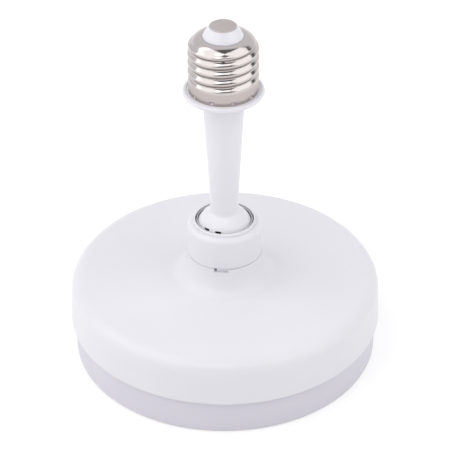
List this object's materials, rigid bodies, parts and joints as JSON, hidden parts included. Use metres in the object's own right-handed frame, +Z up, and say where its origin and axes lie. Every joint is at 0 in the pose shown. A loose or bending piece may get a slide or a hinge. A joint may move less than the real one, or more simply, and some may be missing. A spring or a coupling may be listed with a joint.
{
  "type": "led disc lamp",
  "caption": "Round flat LED disc lamp with a frosted diffuser, on a white neck that tilts and swivels in a ball joint and ends in a nickel screw cap.",
  "frame": {"origin": "centre of the diffuser's flat underside, where the lamp stands", "axes": "+Z up along the neck, towards the screw cap, which points up at rest; the picture looks along +Y with +X to the right"},
  "size_m": [0.1208, 0.1208, 0.1417],
  "materials": {
    "white_housing": "fine moulded satin",
    "diffuser": "frosted translucent polycarbonate",
    "cap_metal": "bright nickel plate, satin skirt",
    "contact_metal": "satin nickel plate",
    "insulator": "white moulded insulator",
    "ring": "slippery moulded plastic",
    "led_board": "white solder mask on aluminium",
    "led": "yellow phosphor in a white package",
    "steel": "zinc-plated steel",
    "insulating_sheet": "translucent film",
    "circuit_board": "green solder mask on glass fibre",
    "resistor": "painted ceramic",
    "chip": "black moulding compound",
    "film_capacitor": "red epoxy coat",
    "can": "dark shrink sleeve on an aluminium can",
    "ferrite": "sintered ferrite",
    "copper": "enamelled copper wire",
    "tinned": "tinned copper",
    "live_wire": "red insulated wire",
    "neutral_wire": "black insulated wire"
  },
  "bodies": {
    "lamp_head": {"top_housing": "white_housing", "collar": "white_housing", "diffuser": "diffuser", "led_board": "led_board", "leds": "led", "led_board_screws": "steel", "insulating_sheet": "insulating_sheet", "driver_board": "circuit_board", "driver_screws": "steel", "output_pins": "tinned", "fuse_resistor": "resistor", "bridge_rectifier": "chip", "driver_chip": "chip", "freewheel_diode": "chip", "film_capacitor": "film_capacitor", "input_capacitor": "can", "output_capacitor": "can", "choke_core": "ferrite", "choke_winding": "copper", "live_wire_head": "live_wire", "neutral_wire_head": "neutral_wire"},
    "swivel": {"swivel_ring": "ring"},
    "neck": {"neck_stem": "white_housing", "cap_base": "white_housing", "screw_shell": "cap_metal", "cap_insulator": "insulator", "centre_contact": "contact_metal", "live_wire_neck": "live_wire", "neutral_wire_neck": "neutral_wire"}
  },
  "joints": [
    {"name": "neck_swivel", "type": "hinge", "parent": "lamp_head", "child": "swivel", "pos_m": [0, 0, 0.0515], "axis": [0, 0, 1], "range_deg": [-170, 170]},
    {"name": "neck_tilt", "type": "hinge", "parent": "swivel", "child": "neck", "pos_m": [0, 0, 0.0515], "axis": [0.4848, 0.8746, 0], "range_deg": [-25, 25]}
  ]
}
